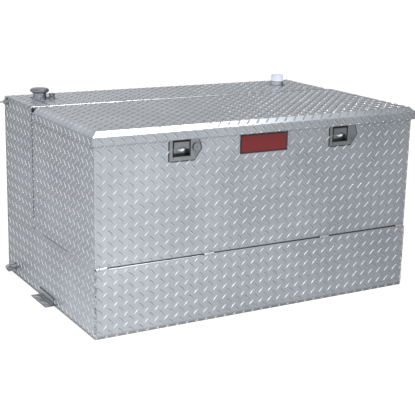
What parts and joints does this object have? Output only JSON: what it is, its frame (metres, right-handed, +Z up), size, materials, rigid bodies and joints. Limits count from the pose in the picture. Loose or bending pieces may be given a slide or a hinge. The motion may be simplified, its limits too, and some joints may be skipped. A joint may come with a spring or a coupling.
{
  "type": "truck bed transfer tank",
  "caption": "Welded tread-plate transfer tank with an L-shaped body, a lidded toolbox on its shelf, filler cap, float gauge, side vent and outlet.",
  "frame": {"origin": "centre of the tank's bottom face, where it rests on the truck bed", "axes": "+X to the right along the longest side as seen from the front, +Y to the back where the tall column is, +Z up; the toolbox front and latches face -Y"},
  "size_m": [1.29, 0.807, 0.698],
  "materials": {
    "tank_sheet": "bright mill finish tread plate",
    "weld_metal": "bright weld metal and turned bungs",
    "stainless": "polished stainless",
    "plated_steel": "zinc plated",
    "strut_paint": "satin black paint",
    "rubber_seal": "matt closed-cell rubber",
    "cap_casting": "dull cast",
    "gauge_plastic": "fuel resistant black plastic",
    "head_casting": "cast head of the gauge",
    "cover_plastic": "milky translucent plastic",
    "dial_plastic": "bright pointer",
    "badge_enamel": "gloss enamel, bare"
  },
  "bodies": {
    "tank": {"rear_wrap": "tank_sheet", "front_wrap": "tank_sheet", "end_plate_left": "tank_sheet", "end_plate_right": "tank_sheet", "baffles": "tank_sheet", "seam_welds": "weld_metal", "tie_down_left": "tank_sheet", "tie_down_right": "tank_sheet", "toolbox_wrap": "tank_sheet", "toolbox_end_left": "tank_sheet", "toolbox_end_right": "tank_sheet", "stitch_welds": "weld_metal", "weatherstrip": "rubber_seal", "hinge_fixed_leaf": "tank_sheet", "hinge_pin": "plated_steel", "latch_dish_left": "stainless", "latch_dish_right": "stainless", "latch_case_left": "plated_steel", "latch_case_right": "plated_steel", "latch_rivets": "stainless", "paddle_pins": "plated_steel", "jaw_pins": "plated_steel", "lock_housing": "stainless", "strut_brackets": "plated_steel", "badge_plate": "badge_enamel", "filler_neck": "weld_metal", "breather_bung": "weld_metal", "breather_cap": "plated_steel", "gauge_bung": "weld_metal", "gauge_head": "head_casting", "float_pin": "plated_steel", "vent_bung": "weld_metal", "vent_barb": "plated_steel", "outlet_bung": "weld_metal", "outlet_elbow": "stainless", "outlet_plug": "stainless"},
    "lid": {"lid_panel": "tank_sheet", "lid_stiffeners": "tank_sheet", "striker_left": "plated_steel", "striker_right": "plated_steel", "lid_strut_studs": "plated_steel", "hinge_lid_leaf": "tank_sheet"},
    "paddle_left": {"paddle_left": "stainless"},
    "paddle_right": {"paddle_right": "stainless"},
    "jaw_left": {"jaw_left": "plated_steel"},
    "jaw_right": {"jaw_right": "plated_steel"},
    "lock": {"lock_plug": "stainless", "lock_cam": "plated_steel"},
    "strut_tube_left": {"strut_tube_left": "strut_paint"},
    "strut_tube_right": {"strut_tube_right": "strut_paint"},
    "strut_rod_left": {"strut_rod_left": "plated_steel"},
    "strut_rod_right": {"strut_rod_right": "plated_steel"},
    "cap_seal": {"cap_gasket": "rubber_seal"},
    "cap": {"filler_cap": "cap_casting"},
    "cover_seal": {"gauge_seal": "rubber_seal"},
    "cover": {"gauge_cover": "cover_plastic"},
    "dial": {"gauge_dial": "dial_plastic"},
    "float_swing": {"float_arm": "plated_steel", "float": "gauge_plastic"}
  },
  "joints": [
    {"name": "lid_hinge", "type": "hinge", "parent": "tank", "child": "lid", "pos_m": [0, 0.1195, 0.64292], "axis": [-1, 0, 0], "range_deg": [0, 75]},
    {"name": "paddle_left_pull", "type": "hinge", "parent": "tank", "child": "paddle_left", "pos_m": [-0.3135, -0.394, 0.607], "axis": [-1, 0, 0], "range_deg": [0, 35], "stiffness_Nm_per_rad": 0.3},
    {"name": "paddle_right_pull", "type": "hinge", "parent": "tank", "child": "paddle_right", "pos_m": [0.2995, -0.394, 0.607], "axis": [-1, 0, 0], "range_deg": [0, 35], "stiffness_Nm_per_rad": 0.3},
    {"name": "jaw_left_close", "type": "hinge", "parent": "tank", "child": "jaw_left", "pos_m": [-0.3135, -0.352, 0.6], "axis": [-1, 0, 0], "range_deg": [0, 78]},
    {"name": "jaw_right_close", "type": "hinge", "parent": "tank", "child": "jaw_right", "pos_m": [0.2995, -0.352, 0.6], "axis": [-1, 0, 0], "range_deg": [0, 78]},
    {"name": "lock_turn", "type": "hinge", "parent": "tank", "child": "lock", "pos_m": [-0.2612, -0.396, 0.588], "axis": [0, -1, 0], "range_deg": [0, 90]},
    {"name": "strut_left_swing", "type": "hinge", "parent": "tank", "child": "strut_tube_left", "pos_m": [-0.5635, -0.036, 0.45752], "axis": [-1, 0, 0], "range_deg": [0, 7.61]},
    {"name": "strut_left_slide", "type": "slide", "parent": "strut_tube_left", "child": "strut_rod_left", "axis": [0, 0.2511, 0.968], "range_m": [0, 0.1311]},
    {"name": "strut_right_swing", "type": "hinge", "parent": "tank", "child": "strut_tube_right", "pos_m": [0.5635, -0.036, 0.45752], "axis": [-1, 0, 0], "range_deg": [0, 7.61]},
    {"name": "strut_right_slide", "type": "slide", "parent": "strut_tube_right", "child": "strut_rod_right", "axis": [0, 0.2511, 0.968], "range_m": [0, 0.1311]},
    {"name": "cap_lift", "type": "slide", "parent": "tank", "child": "cap_seal", "axis": [0, 0, 1], "range_m": [0, 0.05]},
    {"name": "cap_turn", "type": "hinge", "parent": "cap_seal", "child": "cap", "pos_m": [-0.5125, 0.3035, 0.6775], "axis": [0, 0, 1], "range_deg": [0, 90]},
    {"name": "cover_lift", "type": "slide", "parent": "tank", "child": "cover_seal", "axis": [0, 0, 1], "range_m": [0, 0.05]},
    {"name": "cover_turn", "type": "hinge", "parent": "cover_seal", "child": "cover", "pos_m": [0.4805, 0.2715, 0.6735], "axis": [0, 0, 1], "range_deg": [0, 90]},
    {"name": "float_rise", "type": "hinge", "parent": "tank", "child": "float_swing", "pos_m": [0.4805, 0.2715, 0.33], "axis": [0, 1, 0], "range_deg": [0, 100]},
    {"name": "dial_turn", "type": "hinge", "parent": "tank", "child": "dial", "pos_m": [0.4805, 0.2715, 0.672], "axis": [0, 0, -1], "range_deg": [0, 270]}
  ],
  "couplings": [
    {"joint": "strut_left_swing", "follows": "lid_hinge", "ratio": 0.10075},
    {"joint": "strut_left_slide", "follows": "lid_hinge", "m_per_rad": 0.099907},
    {"joint": "strut_right_swing", "follows": "lid_hinge", "ratio": 0.10075},
    {"joint": "strut_right_slide", "follows": "lid_hinge", "m_per_rad": 0.099907},
    {"joint": "dial_turn", "follows": "float_rise", "ratio": 2.7}
  ]
}
